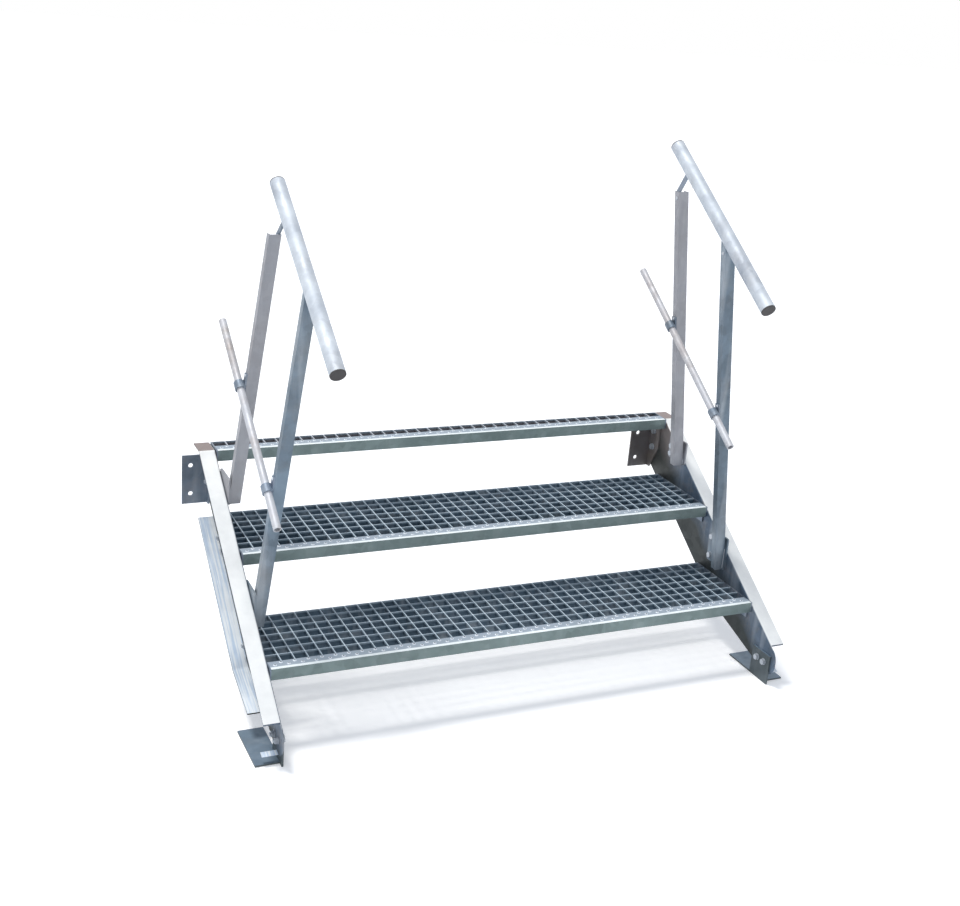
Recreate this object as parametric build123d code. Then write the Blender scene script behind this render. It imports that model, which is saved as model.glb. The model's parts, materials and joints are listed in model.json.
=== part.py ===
from build123d import *
from math import atan2, cos, degrees, radians, tan
import os

# Outdoor steel stair with three grating treads and a railing on each side.
# X runs from the left stringer to the right one, Y runs toward the wall and Z is up.
# The origin is the middle of the left wall bracket's flat back, so the wall is the plane Y = 0.

# Flight
clear_width = 1207        # between the inner faces of the two stringer webs
going = 236               # one nosing to the next, along Y
rise = 157                # one tread top to the next
first_rise = 170          # ground to the top of the first tread

# Treads
mesh_pitch = 30           # spacing of the bars, both ways
mesh_rows = (7, 7, 1)     # rows of cells behind the nosing, first tread to top tread
bearing_t = 2.5           # bars that run across the flight
bearing_height = 26
cross_t = 2.5             # bars that run front to back
cross_height = 12
nosing_depth = 32         # front to back
nosing_height = 26
nosing_t = 2.5
end_plate_t = 3
end_plate_drop = 45       # height of the end plates where they are bolted
end_plate_front = 12      # the deep part starts this far behind the nosing's front
end_plate_rear = 7        # and ends this far behind its last bolt
tread_side_gap = 0.3      # between an end plate and the web
tread_bolt_hole = 9
tread_bolt_down = 33      # below the tread's top
tread_bolt_front = 55     # from the nosing's front
tread_bolt_spacing = 120
top_bolt_down = 14
top_bolt_front = 18
wall_gap = 6              # top tread's back to the wall

# Stringers, folded channels with their webs inward and their flanges outward
stringer_t = 3
stringer_depth = 142      # over both flanges, square to the slope
flange_width = 38         # over the web
fold_radius = 5           # outside of the folds along the web
bend_radius = 18          # in the flanges, where the channel changes direction
nosing_proud = 8          # nosings above the stringer's top face, square to the slope
level_drop = 2            # the stringer's level end below the top tread
stringer_wall_gap = 2
lower_flange_clear = 4    # lower flange to the wall bracket's side leg
foot_reach = 118          # web end in front of the first nosing
foot_radius = 34          # rounded corners of the web end
foot_cut_up = 9           # height of the cut lower edge above the ground, at the web end
foot_cut_angle = 17       # degrees, upward from the web end
top_flange_front = 92     # top flange's lower end in front of the first nosing
lower_flange_back = 28    # lower flange's lower end behind the first nosing

# Wall brackets, angles with a side leg on the web and a wall leg on the wall
bracket_t = 4
bracket_height = 120
bracket_wall_leg = 62
bracket_side_leg = 50
bracket_side_foot = 16    # width of the tapered side leg at its lower end
bracket_taper = 62        # height of the taper
bracket_under_tread = 5   # bracket's top below the top tread's grating
wall_hole = 11
wall_hole_spacing = 70
wall_hole_edge = 20       # from the wall leg's free edge
bracket_bolt_hole = 9
bracket_bolt_back = 24    # from the wall
bracket_bolt_down = 16    # upper bolt below the bracket's top
bracket_bolt_spacing = 44

# Foot brackets, angles with a side leg on the web's inner face and a plate on the ground
foot_t = 4
foot_plate_width = 56     # outward from the side leg
foot_plate_front = 88     # in front of the first nosing
foot_plate_back = 52      # behind the first nosing
foot_leg_front = 102
foot_leg_length = 68
foot_leg_height = 74
foot_bolt_hole = 9
foot_bolt_up = 52
foot_bolt_inset = 20      # from the side leg's front edge
foot_bolt_spacing = 27

# Posts, channels that lean inward, each with a foot plate on the web
post_width = 27           # along X
post_depth = 18           # along Y
post_t = 2.5
post_lean = 7.3           # degrees
post_behind_nosing = (144, 140)   # post's middle behind the nosing of the tread that it stands over
post_plate_t = 4
post_plate_front = 17     # foot plate in front of the post's middle
post_plate_back = 61      # and behind it
post_plate_height = (84, 62)
post_plate_drop = (57, 17)        # plate's lower edge below the stringer's top face at the post's middle
post_plate_corner = 6
post_bolt_hole = 9
post_bolt_back = 47       # behind the post's middle
post_bolt_up = (16, 14)   # lower bolt above the plate's lower edge
post_bolt_spacing = (50, 20)

# Handrails, round tubes on the lower posts and on straps at the upper posts
handrail_d = 33.7
handrail_t = 2.6
handrail_height = (670, 770)      # left and right tube's middle above the nosing line, upright
handrail_front = 40       # lower end in front of the first nosing
handrail_back = 400       # upper end behind the first nosing
cap_t = 3
cap_plug = 14
cap_gap = 0.2             # around the plug
strap_post_gap = 88       # upper post's top below the handrail's middle, upright
strap_width = 14
strap_t = 5
strap_overlap = 42        # length inside the post
strap_inset = 1           # from the edge of the post's side
strap_tilt = 40           # degrees, forward of the post

# Knee rails, thin tubes beside the posts in clips
knee_d = 17.2
knee_t = 2
knee_height = (247, 347)  # left and right tube's middle above the nosing line, upright
knee_front = -60          # lower end in front of the first nosing
knee_back = 535           # upper end behind the first nosing
clip_t = 3
clip_width = 20
clip_tab_width = 17
clip_tab = 52             # length of the tab along the post
seat_gap = 0.2            # around the tubes where they are held

# Places worked out from the sizes above
slope = atan2(rise, going)
step_count = len(mesh_rows)
row_count = [round(rows) for rows in mesh_rows]
tread_depth = [nosing_depth + rows * mesh_pitch for rows in row_count]
top_z = bracket_height / 2 + bracket_under_tread + bearing_height
top_y = -wall_gap - tread_depth[-1]
nosing_y = [top_y - (step_count - 1 - i) * going for i in range(step_count)]
nosing_z = [top_z - (step_count - 1 - i) * rise for i in range(step_count)]
ground_z = nosing_z[0] - first_rise
web_x = bracket_wall_leg / 2 + stringer_t
middle_x = web_x + clear_width / 2
plate_x = web_x + tread_side_gap
grating_x = plate_x + end_plate_t
grating_width = clear_width - 2 * (tread_side_gap + end_plate_t)
level_z = top_z - level_drop
far = 3000                # longer than any piece, for cuts that run out


def slope_z(y, down=0.0):
    """Height at y of a line parallel to the slope, a distance below the nosing line, square to it."""
    return nosing_z[0] + (y - nosing_y[0]) * tan(slope) - down / cos(slope)


def slope_y(z, down=0.0):
    """The y at which that line has the height z."""
    return nosing_y[0] + (z - nosing_z[0] + down / cos(slope)) / tan(slope)


def side_plate(points, x, thickness):
    """A flat plate square to X, from an outline of (y, z) points."""
    face = make_face(Polyline(*points, close=True).edges())
    return extrude(Pos(x, 0, 0) * (Plane.YZ * face), thickness, dir=(1, 0, 0))


def block(x0, x1, y0, y1, z0, z1):
    """A box between two corners."""
    return Pos((x0 + x1) / 2, (y0 + y1) / 2, (z0 + z1) / 2) * Box(x1 - x0, y1 - y0, z1 - z0)


def cross_hole(y, z, diameter, x, length):
    """A round cutter along X, centred on x."""
    return Pos(x, y, z) * Rot(0, 90, 0) * Cylinder(diameter / 2, length)


def on_right(shape):
    """The mirrored piece on the other side of the flight."""
    return mirror(shape, about=Plane.YZ.offset(middle_x))


def save(shape, name):
    solids = shape.solids()
    piece = solids[0] if len(solids) == 1 else Compound(solids)
    piece.label = name
    export_step(piece, f"parts/{name}.step")


def tread_bolts(i):
    """Places (y, z) of the bolts through each end of a tread."""
    if row_count[i] * mesh_pitch > tread_bolt_spacing:
        z = nosing_z[i] - tread_bolt_down
        y = nosing_y[i] + tread_bolt_front
        return [(y, z), (y + tread_bolt_spacing, z)]
    return [(nosing_y[i] + top_bolt_front, nosing_z[i] - top_bolt_down)]


def post_place(k):
    """Middle y of a post and the height of the stringer's top face there."""
    y = nosing_y[k] + post_behind_nosing[k]
    return y, slope_z(y, nosing_proud)


def post_plate_z(k):
    """Lower edge of a post's foot plate."""
    return post_place(k)[1] - post_plate_drop[k]


def post_bolts(k):
    y = post_place(k)[0] + post_bolt_back
    z = post_plate_z(k) + post_bolt_up[k]
    return [(y, z), (y, z + post_bolt_spacing[k])]


def bracket_bolts():
    z = bracket_height / 2 - bracket_bolt_down
    return [(-bracket_bolt_back, z), (-bracket_bolt_back, z - bracket_bolt_spacing)]


def foot_bolts():
    y = nosing_y[0] - foot_leg_front + foot_bolt_inset
    z = ground_z + foot_bolt_up
    return [(y, z), (y + foot_bolt_spacing, z)]


# Stringer
def stringer_outline(inset):
    """Top and lower lines of the channel in (y, z), moved inward by a sheet thickness for the hollow."""
    top = nosing_proud + inset
    low = nosing_proud + stringer_depth - inset
    end_y = -stringer_wall_gap
    front_y = nosing_y[0] - foot_reach
    cut_z = ground_z + foot_cut_up + inset / cos(radians(foot_cut_angle))
    cut_rise = tan(radians(foot_cut_angle))
    cut_y = (slope_z(front_y, low) - cut_z) / (cut_rise - tan(slope)) + front_y
    upper = [(end_y, level_z - inset), (slope_y(level_z - inset, top), level_z - inset)]
    upper += [(front_y, slope_z(front_y, top))]
    lower = [(front_y, cut_z), (cut_y, slope_z(cut_y, low)), (end_y, slope_z(end_y, low))]
    return upper, lower


def channel_face(upper, lower, corner_radius):
    """Side face of the channel with its bends rounded, and its web end where a radius is given."""
    outline = make_face(Polyline(*upper, *lower, close=True).edges())
    corners = outline.vertices()
    bends = [v for v in corners if any(abs(v.X - y) + abs(v.Y - z) < 0.01 for y, z in (upper[1], lower[1]))]
    outline = fillet(bends, bend_radius)
    if corner_radius:
        front = [v for v in outline.vertices() if abs(v.X - upper[-1][0]) < 0.01]
        outline = fillet(front, corner_radius)
    return outline


def stringer():
    body_face = channel_face(*stringer_outline(0), foot_radius)
    outer_x = web_x - flange_width
    body = extrude(Pos(outer_x, 0, 0) * (Plane.YZ * body_face), flange_width, dir=(1, 0, 0))
    folds = [e for e in body.edges() if abs(e.center().X - web_x) < 0.01]
    folds = [e for e in folds if e.center().Y > nosing_y[0] - foot_reach + 0.01]
    folds = [e for e in folds if e.center().Y < -stringer_wall_gap - 0.01]
    body = fillet(folds, fold_radius)
    upper, lower = stringer_outline(stringer_t)
    upper[0] = (0, upper[0][1])
    lower[-1] = (0, slope_z(0, nosing_proud + stringer_depth - stringer_t))
    hollow_face = channel_face(upper, lower, 0)
    body -= extrude(Pos(outer_x, 0, 0) * (Plane.YZ * hollow_face), flange_width - stringer_t, dir=(1, 0, 0))
    body -= block(outer_x, web_x - stringer_t, -far, nosing_y[0] - top_flange_front, -far, far)
    lower_y = nosing_y[0] + lower_flange_back
    middle_down = nosing_proud + stringer_depth / 2
    under = [(-far, slope_z(-far, middle_down)), (lower_y, slope_z(lower_y, middle_down))]
    body -= side_plate(under + [(lower_y, -far), (-far, -far)], outer_x, flange_width - stringer_t)
    rear_y = -bracket_side_leg - lower_flange_clear
    rear_z = slope_z(rear_y, middle_down)
    rear = [(rear_y, rear_z), (0, rear_z), (0, -far), (rear_y, -far)]
    body -= side_plate(rear, outer_x, flange_width - stringer_t)
    places = [(p, tread_bolt_hole) for i in range(step_count) for p in tread_bolts(i)]
    places += [(p, post_bolt_hole) for k in range(2) for p in post_bolts(k)]
    places += [(p, bracket_bolt_hole) for p in bracket_bolts()]
    places += [(p, foot_bolt_hole) for p in foot_bolts()]
    for (y, z), diameter in places:
        body -= cross_hole(y, z, diameter, web_x - stringer_t / 2, 2 * stringer_t)
    return body


# Treads
def grating(i):
    rows = row_count[i]
    front_y = nosing_y[i] + nosing_depth
    depth = rows * mesh_pitch
    z = nosing_z[i]
    columns = int(grating_width / mesh_pitch + 0.5)
    first_x = grating_x + (grating_width - (columns - 2) * mesh_pitch) / 2
    grid = block(grating_x, grating_x + grating_width, front_y, front_y + depth, z - cross_height, z)
    x_edges = [grating_x] + [first_x + n * mesh_pitch for n in range(columns - 1)]
    cells = []
    for n, x in enumerate(x_edges):
        x0 = x + cross_t / 2 if n else grating_x
        x1 = x_edges[n + 1] - cross_t / 2 if n + 1 < len(x_edges) else grating_x + grating_width
        for row in range(rows):
            y0 = front_y + row * mesh_pitch
            cells.append(block(x0, x1, y0, y0 + mesh_pitch - bearing_t, z - cross_height, z))
    grid = grid - cells
    bars = []
    for row in range(rows):
        y1 = front_y + (row + 1) * mesh_pitch
        x1 = grating_x + grating_width
        bars.append(block(grating_x, x1, y1 - bearing_t, y1, z - bearing_height, z - cross_height))
    return grid + bars


def nosing(i):
    y, z = nosing_y[i], nosing_z[i]
    x1 = grating_x + grating_width
    shell = block(grating_x, x1, y, y + nosing_depth, z - nosing_height, z)
    inside = block(grating_x, x1, y + nosing_t, y + nosing_depth - nosing_t, z - nosing_height, z - nosing_t)
    return shell - inside


def end_plate(i):
    y0, y1, z = nosing_y[i], nosing_y[i] + tread_depth[i], nosing_z[i]
    outline = [(y0, z), (y1, z), (y1, z - bearing_height)]
    if len(tread_bolts(i)) > 1:
        drop = end_plate_drop - nosing_height
        rear_y = tread_bolts(i)[-1][0] + end_plate_rear
        outline += [(rear_y + drop, z - bearing_height), (rear_y, z - end_plate_drop)]
        outline += [(y0 + end_plate_front, z - end_plate_drop), (y0 + end_plate_front, z - nosing_height)]
    outline += [(y0, z - nosing_height)]
    plate = side_plate(outline, plate_x, end_plate_t)
    for y, z_bolt in tread_bolts(i):
        plate -= cross_hole(y, z_bolt, tread_bolt_hole, plate_x + end_plate_t / 2, 2 * end_plate_t)
    return plate


# Brackets
def wall_bracket(face_x):
    """Angle whose side leg lies on the web face at face_x, with the wall leg on that leg's left."""
    z0, z1 = -bracket_height / 2, bracket_height / 2
    wall_leg = block(face_x - bracket_wall_leg, face_x, -bracket_t, 0, z0, z1)
    side = [(0, z1), (-bracket_side_leg, z1), (-bracket_side_leg, z0 + bracket_taper)]
    side += [(-bracket_side_foot, z0), (0, z0)]
    body = wall_leg + side_plate(side, face_x - bracket_t, bracket_t)
    hole_x = face_x - bracket_wall_leg + wall_hole_edge
    for z in (-wall_hole_spacing / 2, wall_hole_spacing / 2):
        body -= Pos(hole_x, -bracket_t / 2, z) * Rot(90, 0, 0) * Cylinder(wall_hole / 2, 2 * bracket_t)
    for y, z in bracket_bolts():
        body -= cross_hole(y, z, bracket_bolt_hole, face_x - bracket_t / 2, 2 * bracket_t)
    return body


def foot_bracket():
    y0 = nosing_y[0] - foot_leg_front
    leg = block(web_x, web_x + foot_t, y0, y0 + foot_leg_length, ground_z, ground_z + foot_leg_height)
    plate_y = (nosing_y[0] - foot_plate_front, nosing_y[0] + foot_plate_back)
    plate = block(web_x + foot_t - foot_plate_width, web_x + foot_t, *plate_y, ground_z, ground_z + foot_t)
    body = leg + plate
    for y, z in foot_bolts():
        body -= cross_hole(y, z, foot_bolt_hole, web_x + foot_t / 2, 2 * foot_t)
    return body


# Railing
post_side_x = web_x + post_plate_t + post_width / 2 / cos(radians(post_lean))
left, right = 0, 1


def post_frame(k):
    """Leaning frame of a post: x inward, y toward the wall, z up the post, from the stringer's top face."""
    y, z = post_place(k)
    return Pos(post_side_x, y, z) * Rot(0, post_lean, 0)


def rail_x(height):
    """The x of the posts' middle line at a height above the nosing line."""
    return post_side_x + (height + nosing_proud / cos(slope)) * tan(radians(post_lean))


def rail_tube(x, height, front, back, diameter, wall):
    """A tube along the slope. With no wall it is a solid rod."""
    y0, y1 = nosing_y[0] - front, nosing_y[0] + back
    middle = Pos(x, (y0 + y1) / 2, slope_z((y0 + y1) / 2) + height)
    length = (y1 - y0) / cos(slope)
    tube = Cylinder(diameter / 2, length)
    if wall:
        tube -= Cylinder(diameter / 2 - wall, length)
    return middle * Rot(degrees(slope) - 90, 0, 0) * tube


def handrail(side):
    height = handrail_height[side]
    return rail_tube(rail_x(height), height, handrail_front, handrail_back, handrail_d, handrail_t)


def handrail_cutter(side):
    """The space that a handrail needs where posts and straps meet it."""
    height = handrail_height[side]
    return rail_tube(rail_x(height), height, 2 * going, 3 * going, handrail_d + 2 * seat_gap, 0)


def below_handrail(side):
    """Everything under the handrail's middle line."""
    y0, y1 = nosing_y[0] - far, nosing_y[0] + far
    height = handrail_height[side]
    points = [(y0, slope_z(y0) + height), (y1, slope_z(y1) + height), (y1, -2 * far), (y0, -2 * far)]
    return side_plate(points, web_x, far)


def end_cap(side, upper):
    y = nosing_y[0] + handrail_back if upper else nosing_y[0] - handrail_front
    turn = -90 if upper else 90
    cap = Pos(0, 0, cap_t / 2) * Cylinder(handrail_d / 2, cap_t)
    cap = fillet(cap.edges().group_by(Axis.Z)[-1], cap_t / 2)
    cap += Pos(0, 0, -cap_plug / 2) * Cylinder(handrail_d / 2 - handrail_t - cap_gap, cap_plug)
    height = handrail_height[side]
    return Pos(rail_x(height), y, slope_z(y) + height) * Rot(degrees(slope) + turn, 0, 0) * cap


def foot_plate(k):
    y, low_z = post_place(k)[0], post_plate_z(k)
    high_z = low_z + post_plate_height[k]
    plate = block(web_x, web_x + post_plate_t, y - post_plate_front, y + post_plate_back, low_z, high_z)
    return fillet(plate.edges().filter_by(Axis.X), post_plate_corner)


def post(side, k):
    """Channel cut off at its foot plate. The lower one fits the handrail, the upper one ends below it."""
    y, low_z = post_place(k)[0], post_plate_z(k)
    high_z = slope_z(y) + handrail_height[side]
    if k:
        high_z -= strap_post_gap
    reach = 2 * (high_z - low_z)
    section = Rectangle(post_width, post_depth)
    section -= Pos(0, post_t) * Rectangle(post_width - 2 * post_t, post_depth)
    channel = post_frame(k) * Pos(0, 0, -reach / 2) * extrude(section, 2 * reach)
    if k == 0:
        channel = (channel & below_handrail(side)) - handrail_cutter(side)
        high_z += handrail_d
    channel = channel & block(web_x + post_plate_t, far, y - post_depth, y + post_depth, low_z, high_z)
    body = channel + foot_plate(k)
    for bolt_y, bolt_z in post_bolts(k):
        body -= cross_hole(bolt_y, bolt_z, post_bolt_hole, web_x + post_plate_t / 2, 2 * post_plate_t)
    return body


def strap(side):
    """Flat bar inside the upper post's inner side that slants up to the handrail."""
    y, edge_z = post_place(1)
    post_top = (slope_z(y) + handrail_height[side] - strap_post_gap - edge_z) / cos(radians(post_lean))
    back = post_depth / 2 - strap_inset
    front = back - strap_width
    shift = strap_post_gap * tan(radians(strap_tilt))
    outline = [(front, post_top - strap_overlap), (back, post_top - strap_overlap), (back, post_top)]
    outline += [(back - shift, post_top + strap_post_gap), (front - shift, post_top + strap_post_gap)]
    outline += [(front, post_top)]
    bar = post_frame(1) * side_plate(outline, post_width / 2 - post_t - strap_t, strap_t)
    return (bar & below_handrail(side)) - handrail_cutter(side)


knee_offset = post_width / 2 + clip_t + seat_gap + knee_d / 2


def knee_x(side):
    """The x of a knee rail: outside the posts on the left, and inside them on the right before mirroring."""
    way = 1 if side == right else -1
    return rail_x(knee_height[side]) + way * knee_offset / cos(radians(post_lean))


def knee_rail(side):
    return rail_tube(knee_x(side), knee_height[side], knee_front, knee_back, knee_d, knee_t)


def clip(side, k):
    """Ring around the knee rail with a flat tab on the post's side."""
    y, edge_z = post_place(k)
    z = slope_z(y) + knee_height[side]
    along = Pos(knee_x(side), y, z) * Rot(degrees(slope) - 90, 0, 0)
    ring = along * Cylinder(knee_d / 2 + seat_gap + clip_t, clip_width)
    up = (z - edge_z) / cos(radians(post_lean))
    way = 1 if side == right else -1
    at_post = post_frame(k) * Pos(0, 0, up)
    ring -= at_post * Box(post_width, 4 * post_depth, 4 * clip_tab)
    tab = at_post * Pos(way * (post_width + clip_t) / 2, 0, 0) * Box(clip_t, clip_tab_width, clip_tab)
    return ring + tab - along * Cylinder(knee_d / 2 + seat_gap, 4 * clip_width)


os.makedirs("parts", exist_ok=True)

for i in range(step_count):
    save(grating(i), f"tread_{i + 1}_grating")
    save(nosing(i), f"tread_{i + 1}_nosing")
    save(end_plate(i), f"tread_{i + 1}_left_plate")
    save(on_right(end_plate(i)), f"tread_{i + 1}_right_plate")

save(stringer(), "left_stringer")
save(on_right(stringer()), "right_stringer")
save(foot_bracket(), "left_foot_bracket")
save(on_right(foot_bracket()), "right_foot_bracket")

# The wall brackets are alike and not mirrored: each has its wall leg on the left.
save(wall_bracket(web_x - stringer_t), "left_wall_bracket")
save(wall_bracket(web_x + clear_width), "right_wall_bracket")

# The right railing stands higher than the left one, and its knee rail lies on the left of its posts too.
for side, name in ((left, "left"), (right, "right")):
    pieces = {"lower_post": post(side, 0), "upper_post": post(side, 1), "handrail": handrail(side)}
    pieces["handrail_strap"] = strap(side)
    pieces["handrail_lower_cap"] = end_cap(side, False)
    pieces["handrail_upper_cap"] = end_cap(side, True)
    pieces["knee_rail"] = knee_rail(side)
    pieces["lower_clip"] = clip(side, 0)
    pieces["upper_clip"] = clip(side, 1)
    for piece, shape in pieces.items():
        save(on_right(shape) if side == right else shape, f"{name}_{piece}")
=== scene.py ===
"""The outdoor steel stair's looks, fasteners, floor, light and camera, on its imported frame."""
import json
import math
import random

import bmesh
import bpy
from mathutils import Matrix, Vector


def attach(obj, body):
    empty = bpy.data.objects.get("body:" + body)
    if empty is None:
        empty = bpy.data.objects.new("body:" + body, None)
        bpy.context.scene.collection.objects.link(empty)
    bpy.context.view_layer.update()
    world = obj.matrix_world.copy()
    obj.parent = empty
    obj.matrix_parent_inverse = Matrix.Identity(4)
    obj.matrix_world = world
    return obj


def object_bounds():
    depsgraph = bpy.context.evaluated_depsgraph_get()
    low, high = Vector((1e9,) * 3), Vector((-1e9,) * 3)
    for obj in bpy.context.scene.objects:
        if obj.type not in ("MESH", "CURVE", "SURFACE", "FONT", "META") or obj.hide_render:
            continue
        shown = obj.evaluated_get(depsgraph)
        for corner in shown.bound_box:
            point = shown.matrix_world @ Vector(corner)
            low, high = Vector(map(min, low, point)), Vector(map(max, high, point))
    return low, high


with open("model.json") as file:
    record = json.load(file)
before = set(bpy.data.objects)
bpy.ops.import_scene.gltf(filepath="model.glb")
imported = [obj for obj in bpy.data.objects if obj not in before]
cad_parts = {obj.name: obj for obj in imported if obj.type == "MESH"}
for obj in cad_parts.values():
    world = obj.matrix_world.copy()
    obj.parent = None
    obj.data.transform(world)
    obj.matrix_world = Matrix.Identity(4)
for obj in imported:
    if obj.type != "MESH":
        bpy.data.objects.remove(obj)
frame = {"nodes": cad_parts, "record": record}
cad_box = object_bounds()
nodes = frame["nodes"]
scene = bpy.context.scene
rng = random.Random(7)

mm = 1000                 # millimetres in a metre, the unit of the frame

# Sizes that part.py has too, in millimetres
going, rise = 236, 157
web_x = 34                # inner face of the left stringer's web
clear_width = 1207        # from there to the right web's inner face
nosing_depth = 32
mesh_pitch = 30
cross_bars = 39           # bars from front to back in a tread
stringer_t = 3
nosing_proud = 8          # nosings above the stringer's top face, square to the slope
end_plate_t = 3
tread_side_gap = 0.3      # between an end plate and the web
tread_bolt_front = 55
tread_bolt_spacing = 120
tread_bolt_down = 33
top_bolt_front = 18
top_bolt_down = 14
bracket_t = 4
bracket_bolt_back = 24
foot_t = 4
post_width = 27
post_depth = 18
post_lean = math.radians(7.3)
post_plate_t = 4
post_bolt_back = 47
clip_t = 3
strap_post_gap = 88       # upper post's top below the handrail's middle

# Places worked out from them, or as in part.py
slope = math.atan2(rise, going)
far_web_x = web_x + clear_width
first_y, first_z = -540, -223     # first nosing's top front edge
nosings = [(first_y + i * going, first_z + i * rise) for i in range(3)]
grating_x = web_x + tread_side_gap + end_plate_t
grating_width = clear_width - 2 * (tread_side_gap + end_plate_t)
foot_bolts = [(-622, -341), (-595, -341)]
bracket_bolts = [(-bracket_bolt_back, 44), (-bracket_bolt_back, 0)]


# Camera, at the photograph's viewing angle
photo_width = 960         # pixels
focal_px = 1341
sensor_width = 36
yaw, pitch, roll = (math.radians(a) for a in (25.77, 19.49, 4.77))
eye = Vector((-676, -2920, 1157)) / mm
forward = Vector((
    math.sin(yaw) * math.cos(pitch),
    math.cos(yaw) * math.cos(pitch),
    -math.sin(pitch),
))
level_right = Vector((math.cos(yaw), -math.sin(yaw), 0))
level_up = level_right.cross(forward)
right = level_right * math.cos(roll) + level_up * math.sin(roll)
up = level_up * math.cos(roll) - level_right * math.sin(roll)
camera_data = bpy.data.cameras.new("camera")
camera = bpy.data.objects.new("camera", camera_data)
scene.collection.objects.link(camera)
camera.matrix_world = (
    Matrix.Translation(eye) @ Matrix((right, up, -forward)).transposed().to_4x4()
)
camera_data.sensor_width = sensor_width
camera_data.lens = focal_px * sensor_width / photo_width
camera_data.clip_end = 60
scene.camera = camera


# Materials. Places in them are in metres, in the part's frame.
class Net:
    """Short ways to add nodes to the tree of a material or of the world."""

    def __init__(self, owner):
        self.tree = owner.node_tree

    def feed(self, socket, value):
        """Link an output to an input, or give the input a constant value."""
        if hasattr(value, "is_output"):
            self.tree.links.new(value, socket)
        else:
            socket.default_value = value

    def add(self, kind, **inputs):
        node = self.tree.nodes.new(kind)
        for key, value in inputs.items():
            name = key.replace("_", " ")
            self.feed(next(s for s in node.inputs if s.name == name), value)
        return node

    def output(self, shader, kind="ShaderNodeOutputMaterial"):
        self.tree.links.new(shader.outputs[0], self.add(kind).inputs[0])

    def mix(self, share, a, b):
        """Colour a with a share of colour b. A colour is an output or three numbers."""
        node = self.tree.nodes.new("ShaderNodeMix")
        node.data_type = "RGBA"
        self.feed(node.inputs[0], share)
        for i, colour in ((6, a), (7, b)):
            self.feed(node.inputs[i], (*colour, 1) if isinstance(colour, tuple) else colour)
        return node.outputs[2]

    def ramp(self, value, *stops):
        """A value by straight lines between stops of (value, result)."""
        node = self.tree.nodes.new("ShaderNodeValToRGB")
        self.feed(node.inputs[0], value)
        elements = node.color_ramp.elements
        while len(elements) > 1:
            elements.remove(elements[-1])
        for i, (place, level) in enumerate(stops):
            stop = elements[0] if i == 0 else elements.new(place)
            stop.position = place
            stop.color = (level, level, level, 1)
        return node.outputs[0]

    def math(self, operation, a, b=0.0):
        node = self.tree.nodes.new("ShaderNodeMath")
        node.operation = operation
        self.feed(node.inputs[0], a)
        self.feed(node.inputs[1], b)
        return node.outputs[0]

    def plus(self, a, b):
        return self.math("ADD", a, b)

    def minus(self, a, b):
        return self.math("SUBTRACT", a, b)

    def times(self, a, b):
        return self.math("MULTIPLY", a, b)

    def over(self, a, limit):
        """1 above the limit, or else 0."""
        return self.math("GREATER_THAN", a, limit)

    def under(self, a, limit):
        """1 below the limit, or else 0."""
        return self.math("LESS_THAN", a, limit)

    def xyz(self, vector):
        return self.add("ShaderNodeSeparateXYZ", Vector=vector).outputs

    def noise(self, vector, scale, detail, roughness=0.5):
        kind = "ShaderNodeTexNoise"
        node = self.add(kind, Vector=vector, Scale=scale, Detail=detail, Roughness=roughness)
        return node.outputs[0]

    def stretched(self, vector, scale, detail):
        """Noise with a scale of its own along each axis."""
        mapped = self.add("ShaderNodeMapping", Vector=vector, Scale=scale)
        return self.noise(mapped.outputs[0], 1.0, detail)


def material(name):
    made = bpy.data.materials.new(name)
    made.use_nodes = True
    made.node_tree.nodes.clear()
    return made


def zinc(name, tint, dark, rough=0.42, metal=0.75, spangle=60, warm=0.0, streaks=0.22,
         top=None, shade=None):
    """Hot-dip galvanised steel: crystal spangle in a cloudy tone, with bright runs and fine bumps.

    warm is the share of brownish stains and streaks that of the runs. shade paints light and
    shade on certain places, and top paints the faces that look up in a lit tone, which are also
    duller.
    """
    crystal_gain = 1.35
    bright_run = (0.82, 0.84, 0.86)
    stain = (0.30, 0.24, 0.18)
    made = material(name)
    n = Net(made)
    geometry = n.add("ShaderNodeNewGeometry")
    pos = geometry.outputs["Position"]
    cells = n.add("ShaderNodeTexVoronoi", Vector=pos, Scale=spangle)
    crystal = n.add("ShaderNodeSeparateColor", Color=cells.outputs["Color"]).outputs
    cloud = n.noise(pos, 7.0, 5.0, 0.6)
    fine = n.noise(pos, 260.0, 3.0)
    runs = n.stretched(pos, (30.0, 30.0, 3.0), 4.0)

    base = n.mix(n.ramp(cloud, (0.36, 0.0), (0.66, 1.0)), dark, tint)
    lit = tuple(min(1, c * crystal_gain) for c in tint)
    base = n.mix(n.times(crystal[0], 0.16), base, lit)
    base = n.mix(n.times(n.ramp(runs, (0.5, 0.0), (0.72, 1.0)), streaks), base, bright_run)
    if warm:
        spots = n.noise(pos, 16.0, 6.0, 0.7)
        base = n.mix(n.times(n.ramp(spots, (0.5, 0.0), (0.7, 1.0)), warm), base, stain)
    if shade:
        base = shade(n, pos, base)
    shine = metal
    # top paints the up-facing faces in a lit tone: painted light over darker, shaded sides.
    if top:
        level = n.ramp(n.xyz(geometry.outputs["Normal"])[2], (0.6, 0.0), (0.8, 1.0))
        patch = n.ramp(cloud, (0.35, 0.8), (0.6, 1.0))
        base = n.mix(n.times(level, patch), base, top(n, pos))
        shine = n.times(n.minus(1.0, n.times(level, 0.75)), metal)

    grain = n.add("ShaderNodeBump", Strength=0.12, Distance=0.0006, Height=fine)
    waves = n.add("ShaderNodeBump", Strength=0.25, Distance=0.002, Height=cloud,
                  Normal=grain.outputs[0])
    roughness = n.plus(n.times(crystal[1], 0.16), rough - 0.05)
    roughness = n.plus(roughness, n.times(fine, 0.1))
    n.output(n.add("ShaderNodeBsdfPrincipled", Base_Color=base, Metallic=shine,
                   Roughness=roughness, Normal=waves.outputs[0]))
    return made


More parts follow.
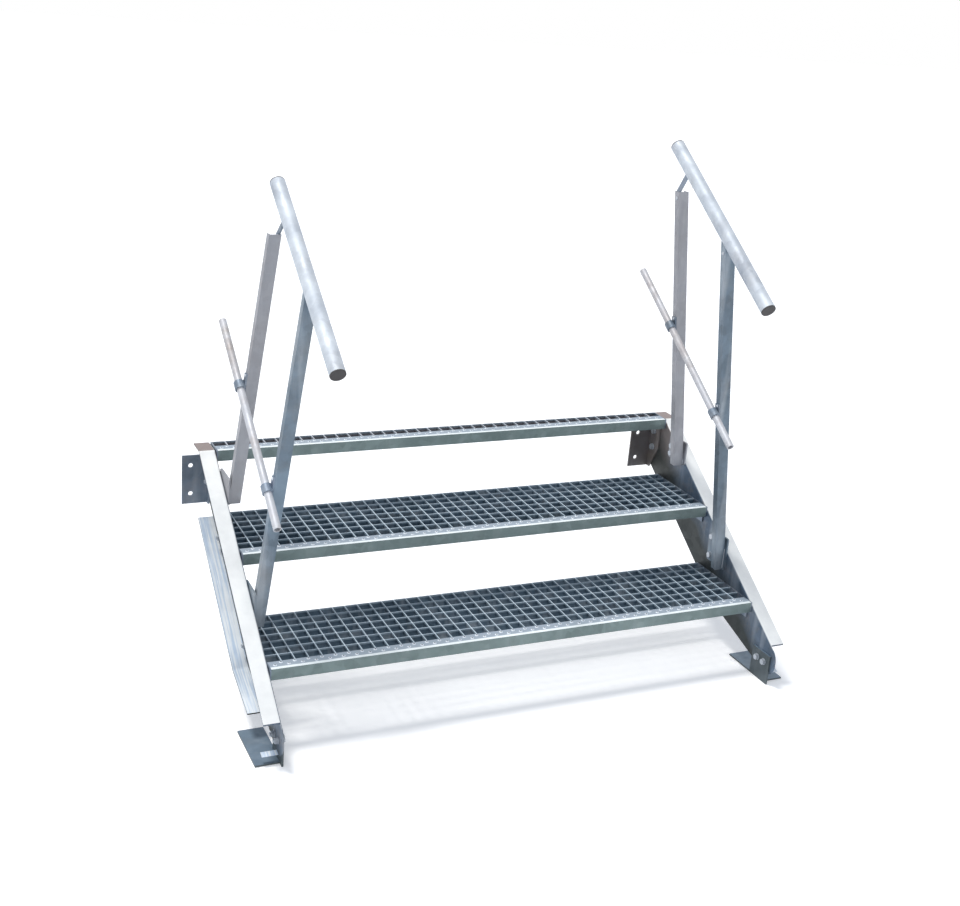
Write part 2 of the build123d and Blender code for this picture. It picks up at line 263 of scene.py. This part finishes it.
def plastic(name, tint):
    """Plain plastic with soiled patches."""
    made = material(name)
    n = Net(made)
    pos = n.add("ShaderNodeNewGeometry").outputs["Position"]
    soiled = tuple(c * 0.6 for c in tint)
    base = n.mix(n.ramp(n.noise(pos, 40.0, 5.0), (0.4, 0.0), (0.7, 1.0)), tint, soiled)
    grain = n.add("ShaderNodeBump", Strength=0.1, Distance=0.0003,
                  Height=n.noise(pos, 500.0, 2.0))
    n.output(n.add("ShaderNodeBsdfPrincipled", Base_Color=base, Roughness=0.55,
                   Normal=grain.outputs[0]))
    return made


def above_slope(n, y, z):
    """Height above a line through the origin that runs along the flight."""
    return n.minus(z, n.times(y, rise / going))


def tread_front(n, z, behind=0):
    """Y of the nosing's front on a tread's top, or of a line behind it, from the top's height."""
    nosing = n.times(n.plus(z, -first_z / mm), going / rise)
    return n.minus(nosing, -(first_y + behind) / mm)


def stringer_top_light(n, pos):
    """Painted light and shade: top flange sunlit white, lower flange shaded pale blue with
    streaks, level end shaded brownish.
    """
    between_flanges = 0.05    # above the line of the slope
    level_end = 0.0885        # just under the level end's top
    _, y, z = n.xyz(pos)
    lines = n.ramp(n.stretched(pos, (230.0, 7.0, 7.0), 3.0), (0.42, 0.0), (0.62, 1.0))
    # The lower flange's pale blue with streaks is its painted shade tone.
    low = n.mix(lines, (0.58, 0.70, 0.85), (0.90, 0.95, 0.98))
    # The top flange's white is painted sunlight.
    tone = n.mix(n.over(above_slope(n, y, z), between_flanges), low, (0.93, 0.94, 0.92))
    # The level end's brown is painted shade.
    return n.mix(n.over(z, level_end), tone, (0.26, 0.21, 0.20))


def stringer_shade(n, pos, base):
    """Painted shade: the webs brownish next to the wall, and their lower part dark, as in the shade
    under the treads.
    """
    nosing_line = 0.136       # above the line of the slope
    reach = 0.2               # of both shades, from the wall and from the nosing line
    _, y, z = n.xyz(pos)
    # Painted shade, brownish, on the webs next to the wall.
    wall_shade = n.ramp(n.times(n.plus(y, reach), 1 / reach), (0.3, 0.0), (0.55, 0.7))
    base = n.mix(wall_shade, base, (0.20, 0.155, 0.125))
    down = n.times(n.minus(nosing_line, above_slope(n, y, z)), 1 / reach)
    ragged = n.times(n.minus(n.noise(pos, 14.0, 4.0), 0.5), 0.3)
    # dark is the share of painted shade on the webs' lower part.
    dark = n.ramp(n.plus(down, ragged), (0.24, 0.0), (0.52, 1.0))
    return n.mix(n.times(dark, 0.94), base, (0.026, 0.032, 0.030))


def bracket_shade(n, pos, base):
    """Painted shade: the right wall bracket brownish, and the ground plates' legs dark under their
    blue grey tops.
    """
    right_side, wall_low, wall_front = 1.1, -0.1, -0.06   # the wall bracket is past all three
    foot_top = -0.3
    upward = 0.5              # a plate's top faces up by more than this, and a leg doesn't
    x, y, z = n.xyz(pos)
    facing_up = n.xyz(n.add("ShaderNodeNewGeometry").outputs["Normal"])[2]
    wall_bracket = n.times(n.over(x, right_side), n.over(z, wall_low))
    wall_bracket = n.times(wall_bracket, n.over(y, wall_front))
    # Painted shade, brownish, on the right wall bracket.
    base = n.mix(n.times(wall_bracket, 0.7), base, (0.17, 0.13, 0.10))
    foot = n.under(z, foot_top)
    plate = n.times(foot, n.over(facing_up, upward))
    base = n.mix(n.times(plate, 0.6), base, (0.17, 0.25, 0.33))
    # Painted shade on the ground plates' legs, which face sideways.
    leg = n.times(foot, n.under(facing_up, upward))
    return n.mix(n.times(leg, 0.75), base, (0.05, 0.065, 0.06))


def post_shade(n, pos, base):
    """Painted light: the upper posts paler and warmer than the lower ones."""
    between_posts = -0.28     # of Y
    upper = n.over(n.xyz(pos)[1], between_posts)
    # Painted light on the upper posts.
    return n.mix(n.times(upper, 0.6), base, (0.40, 0.38, 0.39))


def nosing_top(n, pos):
    """The top's lit tone, with a painted highlight in a bright band along the front edge."""
    highlight_width = 1 / 90      # about 11 mm
    _, y, z = n.xyz(pos)
    wave = 0.002
    wavy = n.times(n.noise(pos, 60.0, 3.0), wave)
    back = n.plus(n.minus(y, tread_front(n, z)), wavy)
    # A painted highlight along the nosing's front edge.
    nosing_highlight = n.ramp(n.times(back, 1 / highlight_width), (0.8, 1.0), (1.0, 0.0))
    return n.mix(nosing_highlight, (0.33, 0.39, 0.46), (0.88, 0.94, 0.95))


top_tread_z = 0.0         # only the top tread is above it


def grating_rim(n, pos, base):
    """Painted highlight on the bars' sides just below their tops, and brownish on the top tread."""
    below_top = 0.2           # millimetres, which keep the tops themselves in the same rise
    z = n.xyz(pos)[2]
    base = n.mix(n.times(n.over(z, top_tread_z), 0.75), base, (0.22, 0.19, 0.20))
    steps = n.math("DIVIDE", n.plus(z, -(first_z + below_top) / mm), rise / mm)
    # A painted highlight on the bars' sides just below their tops.
    rim_highlight = n.ramp(n.math("FRACT", steps), (0.968, 0.0), (0.985, 0.8))
    return n.mix(rim_highlight, base, (0.34, 0.43, 0.50))


def grating_top(n, pos):
    """Bars across the tread darker than the lines from front to back, which lie bright on them."""
    pitch = mesh_pitch / mm
    gap_share = 0.905         # of the pitch, between two bars across the tread
    half_line = 0.06          # of the pitch, half a line from front to back
    first_bar = (grating_x + (grating_width - (cross_bars - 1) * mesh_pitch) / 2) / mm
    x, y, z = n.xyz(pos)
    rows = n.math("DIVIDE", n.minus(y, tread_front(n, z, nosing_depth)), pitch)
    across = n.over(n.math("FRACT", rows), gap_share)
    columns = n.plus(n.math("DIVIDE", n.minus(x, first_bar), pitch), 0.5)
    from_bar = n.math("ABSOLUTE", n.minus(n.math("FRACT", columns), 0.5))
    along = n.under(from_bar, half_line)
    # The tops' tones are lit tones, painted lighter than the bars' shaded sides.
    tone = n.mix(across, (0.46, 0.55, 0.62), (0.36, 0.44, 0.51))
    tone = n.mix(n.times(n.over(z, top_tread_z), 0.6), tone, (0.50, 0.46, 0.48))
    return n.mix(n.times(across, along), tone, (0.70, 0.76, 0.83))


# In grating, nosing and stringer zinc the tints are the sides' painted shade, the tops' tones
# painted light.
looks = {name: zinc(name, tint, dark, **more) for name, tint, dark, more in (
    ("grating_zinc", (0.09, 0.14, 0.19), (0.05, 0.085, 0.12),
     dict(rough=0.5, metal=0.5, top=grating_top, shade=grating_rim)),
    ("nosing_zinc", (0.21, 0.27, 0.27), (0.15, 0.20, 0.20),
     dict(rough=0.5, top=nosing_top, streaks=0.05)),
    ("end_plate_zinc", (0.21, 0.26, 0.32), (0.13, 0.16, 0.21), {}),
    ("stringer_zinc", (0.13, 0.18, 0.25), (0.06, 0.09, 0.13),
     dict(metal=0.5, warm=0.4, top=stringer_top_light, shade=stringer_shade)),
    ("handrail_zinc", (0.64, 0.69, 0.74), (0.34, 0.38, 0.44),
     dict(rough=0.55, metal=0.35, warm=0.2)),
    ("knee_rail_zinc", (0.54, 0.56, 0.60), (0.40, 0.37, 0.37),
     dict(rough=0.5, metal=0.4, warm=0.4)),
    ("post_zinc", (0.18, 0.24, 0.30), (0.10, 0.13, 0.16),
     dict(metal=0.6, warm=0.15, shade=post_shade)),
    ("bracket_zinc", (0.20, 0.25, 0.32), (0.11, 0.14, 0.17),
     dict(metal=0.45, warm=0.3, shade=bracket_shade)),
    ("bolt_zinc", (0.50, 0.54, 0.59), (0.33, 0.36, 0.40), dict(rough=0.35, spangle=300)),
    ("dot_zinc", (0.74, 0.80, 0.86), (0.60, 0.66, 0.73),
     dict(rough=0.4, metal=0.3, spangle=300)),
    ("painted_hole_shade", (0.06, 0.08, 0.10), (0.03, 0.04, 0.06),
     dict(rough=0.6, metal=0.3, spangle=300)),
    ("weld_zinc", (0.40, 0.43, 0.48), (0.25, 0.28, 0.32), dict(rough=0.55, spangle=300)),
)}
looks["cap_plastic"] = plastic("cap_plastic", (0.045, 0.042, 0.043))
slots = {s["node"]: s["material_slot"] for s in frame["record"]["subparts"]}
for name, obj in nodes.items():
    for slot in obj.material_slots:
        slot.material = looks[slots[name]]


# Bolts, screws, welds and anti-slip dots. Their lengths are in millimetres.
def ring_faces(bm, first, second):
    """Faces between two rings of as many points."""
    for i in range(len(first)):
        j = (i + 1) % len(first)
        bm.faces.new((first[i], first[j], second[j], second[i]))


def prism(bm, sides, radius, x0, x1, y, z, turn=0.0):
    """A closed prism along X."""
    rings = []
    for x in (x0, x1):
        ring = []
        for i in range(sides):
            a = turn + 2 * math.pi * i / sides
            place = Vector((x, y + radius * math.cos(a), z + radius * math.sin(a)))
            ring.append(bm.verts.new(place / mm))
        rings.append(ring)
    ring_faces(bm, *rings)
    bm.faces.new(rings[0][::-1])
    bm.faces.new(rings[1])


def dome(bm, x, y, z, radius, height, axis=(0, 0, 1), sides=12, levels=4):
    """A low round bump on a face, or a screw's head, along an axis."""
    middle = Vector((x, y, z))
    turn = Vector(axis).to_track_quat("Z", "Y").to_matrix()
    rings = []
    for k in range(levels):
        a = math.pi / 2 * k / levels
        ring = []
        for i in range(sides):
            b = 2 * math.pi * i / sides
            out = radius * math.cos(a)
            offset = Vector((out * math.cos(b), out * math.sin(b), height * math.sin(a)))
            ring.append(bm.verts.new((middle + turn @ offset) / mm))
        rings.append(ring)
    tip = bm.verts.new((middle + turn @ Vector((0, 0, height))) / mm)
    for k in range(levels - 1):
        ring_faces(bm, rings[k], rings[k + 1])
    for i in range(sides):
        bm.faces.new((rings[-1][i], rings[-1][(i + 1) % sides], tip))
    bm.faces.new(rings[0][::-1])


def bead(bm, a, b, radius=1.8, sides=8, ripple=1.6):
    """A weld bead between two points, with small ripples."""
    thin, ridge, wobble = 0.86, 0.22, 0.1     # as shares of the radius
    a, b = Vector(a), Vector(b)
    length = (b - a).length
    turn = (b - a).to_track_quat("Z", "Y").to_matrix()
    count = max(4, int(length / ripple))
    rings = []
    for k in range(count + 1):
        r = radius * (thin + ridge * (k % 2) + wobble * rng.random())
        r *= 0.5 if k in (0, count) else 1
        ring = []
        for i in range(sides):
            t = 2 * math.pi * i / sides
            offset = Vector((r * math.cos(t), r * math.sin(t), length * k / count))
            ring.append(bm.verts.new((a + turn @ offset) / mm))
        rings.append(ring)
    for k in range(count):
        ring_faces(bm, rings[k], rings[k + 1])
    bm.faces.new(rings[0][::-1])
    bm.faces.new(rings[-1])


def piece(name, bm, look, smooth=False):
    """A mesh made into a piece of the scene that rides on the part's one body."""
    bmesh.ops.recalc_face_normals(bm, faces=bm.faces)
    mesh = bpy.data.meshes.new(name)
    bm.to_mesh(mesh)
    bm.free()
    mesh.materials.append(looks[look])
    if smooth:
        for poly in mesh.polygons:
            poly.use_smooth = True
    o = bpy.data.objects.new(name, mesh)
    scene.collection.objects.link(o)
    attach(o, "root")


def bolt(bm, y, z, head_x, nut_x):
    """An M8 bolt along X: head and washer on one face, washer, nut and thread end on the other."""
    washer_r, washer_t = 8, 1.5
    hex_r, head_height, nut_height = 7.4, 5.3, 6.5    # hexagons over their corners
    shank_r, thread_end = 3.9, 11
    way = 1 if nut_x > head_x else -1
    turn = rng.uniform(0, math.pi / 3)
    under_head = head_x - washer_t * way
    on_washer = nut_x + washer_t * way
    prism(bm, 20, washer_r, under_head, head_x, y, z)
    prism(bm, 6, hex_r, under_head - head_height * way, under_head, y, z, turn)
    prism(bm, 12, shank_r, under_head, nut_x + thread_end * way, y, z)
    prism(bm, 20, washer_r, nut_x, on_washer, y, z)
    prism(bm, 6, hex_r, on_washer, on_washer + nut_height * way, y, z, turn + 0.4)


def bolts(name, places, head_x, nut_x):
    """A piece of bolts through the same two faces, at places of Y and Z."""
    bm = bmesh.new()
    for y, z in places:
        bolt(bm, y, z, head_x, nut_x)
    piece(name, bm, "bolt_zinc")


def edge_z(y):
    """Height of the stringer's top face."""
    return first_z + (y - first_y) * math.tan(slope) - nosing_proud / math.cos(slope)


tread_bolts = [
    (y + front, z - tread_bolt_down)
    for y, z in nosings[:-1]
    for front in (tread_bolt_front, tread_bolt_front + tread_bolt_spacing)
]
tread_bolts.append((nosings[-1][0] + top_bolt_front, nosings[-1][1] - top_bolt_down))

# For the lower and the upper post: its middle behind the nosing, its foot plate's lower edge
# below the stringer's top face, the lower bolt above that edge, and the bolts' spacing
post_sizes = ((144, 57, 16, 50), (140, 17, 14, 20))
posts = []                # Y of the post's middle, and the foot plate's lower edge
post_bolts = []
for (nosing_y, _), (behind, drop, bolt_up, spacing) in zip(nosings, post_sizes):
    post_y = nosing_y + behind
    plate_low = edge_z(post_y) - drop
    posts.append((post_y, plate_low))
    for height in (bolt_up, bolt_up + spacing):
        post_bolts.append((post_y + post_bolt_back, plate_low + height))

weld_above_plate = 3      # weld's lower end above the foot plate's lower edge
weld_below_edge = 2       # and its upper end below the stringer's top face
for side, web, way in (("left", web_x, 1), ("right", far_web_x, -1)):
    outer = web - stringer_t * way
    bolts(side + "_tread_bolts", tread_bolts, web + (tread_side_gap + end_plate_t) * way, outer)
    bolts(side + "_post_bolts", post_bolts, web + post_plate_t * way, outer)
    bolts(side + "_foot_bolts", foot_bolts, web + foot_t * way, outer)
    # Both brackets are of one hand: outside the left web, and inside the right one
    if side == "left":
        bolts(side + "_wall_bracket_bolts", bracket_bolts, web, outer - bracket_t)
    else:
        bolts(side + "_wall_bracket_bolts", bracket_bolts, web - bracket_t, outer)
    welds = bmesh.new()
    x = web + post_plate_t * way
    for post_y, plate_low in posts:
        top = edge_z(post_y)
        front, back = post_y - post_depth / 2, post_y + post_depth / 2
        for y in (front, back):
            bead(welds, (x, y, plate_low + weld_above_plate), (x, y, top - weld_below_edge))
        bead(welds, (x, front, top), (x, back, top))
    piece(side + "_post_welds", welds, "weld_zinc", smooth=True)


def screw(bm, side, post, across, height):
    """A round head on a post's side: across from its middle, at a height over the nosing line."""
    head_r, head_height = 4.2, 2.6
    foot_x = web_x + post_plate_t + post_width / 2 / math.cos(post_lean)
    y = posts[post][0]
    along = (height + nosing_proud / math.cos(slope)) / math.cos(post_lean)
    x = foot_x + across * math.cos(post_lean) + along * math.sin(post_lean)
    z = edge_z(y) + along * math.cos(post_lean) - across * math.sin(post_lean)
    way = 1 if across > 0 else -1
    axis = [way * math.cos(post_lean), 0, -way * math.sin(post_lean)]
    if side == "right":
        x, axis[0] = web_x + far_web_x - x, -axis[0]
    dome(bm, x, y, z, head_r, head_height, axis)


lower_screw_down = 34     # below the handrail's middle
upper_screw_down = 15     # below the upper post's top
clip_screw_step = 20.5    # above and below the knee rail's middle
for side, rail, knee in (("left", 670, 247), ("right", 770, 347)):
    bm = bmesh.new()
    screw(bm, side, 0, post_width / 2, rail - lower_screw_down)
    screw(bm, side, 1, post_width / 2, rail - strap_post_gap - upper_screw_down)
    piece(side + "_rail_screws", bm, "bolt_zinc", smooth=True)
    bm = bmesh.new()
    # Both knee rails are on the left of their posts
    clip_face = post_width / 2 + clip_t
    for post in (0, 1):
        for step in (-clip_screw_step, clip_screw_step):
            screw(bm, side, post, clip_face if side == "right" else -clip_face, knee + step)
    piece(side + "_clip_screws", bm, "bolt_zinc", smooth=True)

rim_r, rim_height = 4.4, 1.3
# The dark domes in the dots' middles are painted shade, for their holes' shaded insides.
hole_r, hole_height, hole_up = 2.2, 0.6, 0.9
dot_inset = 12            # first dot from the grating's end
dot_clear = 10            # last dot to the right web
for i, (nosing_y, nosing_z) in enumerate(nosings):
    rims, shaded_holes = bmesh.new(), bmesh.new()
    for row, behind in enumerate((15.5, 25)):
        for c in range(cross_bars + 1):
            x = web_x + tread_side_gap + end_plate_t + dot_inset
            x += mesh_pitch / 2 * row + c * mesh_pitch
            if x < far_web_x - dot_clear:
                dome(rims, x, nosing_y + behind, nosing_z, rim_r, rim_height)
                dome(shaded_holes, x, nosing_y + behind, nosing_z + hole_up, hole_r, hole_height)
    piece("tread_%d_dots" % (i + 1), rims, "dot_zinc", smooth=True)
    piece("tread_%d_dot_holes" % (i + 1), shaded_holes, "painted_hole_shade", smooth=True)


# Floor and light
def seen(n):
    """1 for rays of the camera, of gloss or through glass, which show the background, or else 0."""
    path = n.add("ShaderNodeLightPath")
    rays = [path.outputs["Is %s Ray" % kind] for kind in ("Camera", "Glossy", "Transmission")]
    return n.math("MAXIMUM", n.math("MAXIMUM", rays[0], rays[1]), rays[2])


middle = (0.6, -0.3, 0)   # of the stair, roughly
floor_gap = 0.0005        # under the feet
floor_glow = 0.32         # makes the floor white where it is seen, and lights nothing
bpy.ops.mesh.primitive_plane_add(size=60, location=(*middle[:2], cad_box[0][2] - floor_gap))
floor = bpy.context.object
floor.name = "floor"
floor_material = material("floor")
n = Net(floor_material)
pale = n.add("ShaderNodeBsdfDiffuse", Color=(0.9, 0.9, 0.9, 1))
glow = n.add("ShaderNodeEmission", Color=(1, 1, 1, 1), Strength=n.times(seen(n), floor_glow))
both = n.add("ShaderNodeAddShader")
n.feed(both.inputs[0], pale.outputs[0])
n.feed(both.inputs[1], glow.outputs[0])
n.output(both)
floor.data.materials.append(floor_material)

world = bpy.data.worlds.new("world")
scene.world = world
world.use_nodes = True
world.node_tree.nodes.clear()
n = Net(world)
sky = n.add("ShaderNodeBackground", Color=(0.78, 0.86, 1.0, 1), Strength=0.55)
white = n.add("ShaderNodeBackground", Color=(1, 1, 1, 1), Strength=1.0)
pick = n.add("ShaderNodeMixShader")
for socket, value in zip(pick.inputs, (seen(n), sky.outputs[0], white.outputs[0])):
    n.feed(socket, value)
n.output(pick, "ShaderNodeOutputWorld")


def lamp(name, kind, energy, place, color=(1, 1, 1)):
    """A lamp that shines at the stair's middle. Its data is given back, to set its size."""
    data = bpy.data.lights.new(name, kind)
    data.energy = energy
    data.color = color
    o = bpy.data.objects.new(name, data)
    scene.collection.objects.link(o)
    o.location = place
    o.rotation_euler = (Vector(middle) - Vector(place)).to_track_quat("-Z", "Y").to_euler()
    return data


lamp("key", "SUN", 2.3, (-0.6, 1.2, 5.0), (1.0, 0.98, 0.95)).angle = math.radians(14)
lamp("fill", "AREA", 40, (-2.5, -4.5, 3.0)).size = 3
scene.view_settings.view_transform = "Standard"
